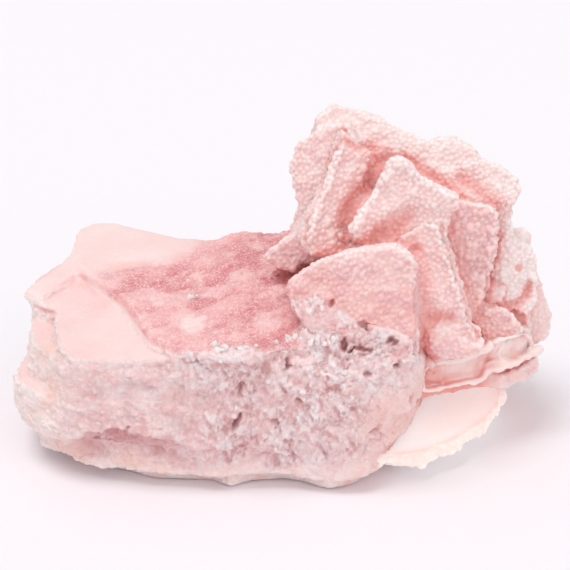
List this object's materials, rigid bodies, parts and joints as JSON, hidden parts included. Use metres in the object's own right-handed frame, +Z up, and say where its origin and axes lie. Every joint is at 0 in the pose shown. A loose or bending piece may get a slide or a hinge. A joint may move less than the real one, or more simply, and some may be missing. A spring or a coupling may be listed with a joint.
{
  "type": "halite crystal specimen",
  "caption": "Stepped cubic halite crystals grown together on a broken slab of layered halite, resting on its flat base.",
  "frame": {"origin": "middle of the footprint, on the surface that the specimen rests on", "axes": "+X along the slab towards the crystals' end, +Y away from the broken front wall, +Z up"},
  "size_m": [0.1116, 0.0636, 0.0692],
  "materials": {
    "halite": "translucent pale pink salt, sugary on the crystals, smooth on the beds and crumbly on the broken walls"
  },
  "bodies": {
    "root": {"halite_cluster": "halite"}
  },
  "joints": []
}
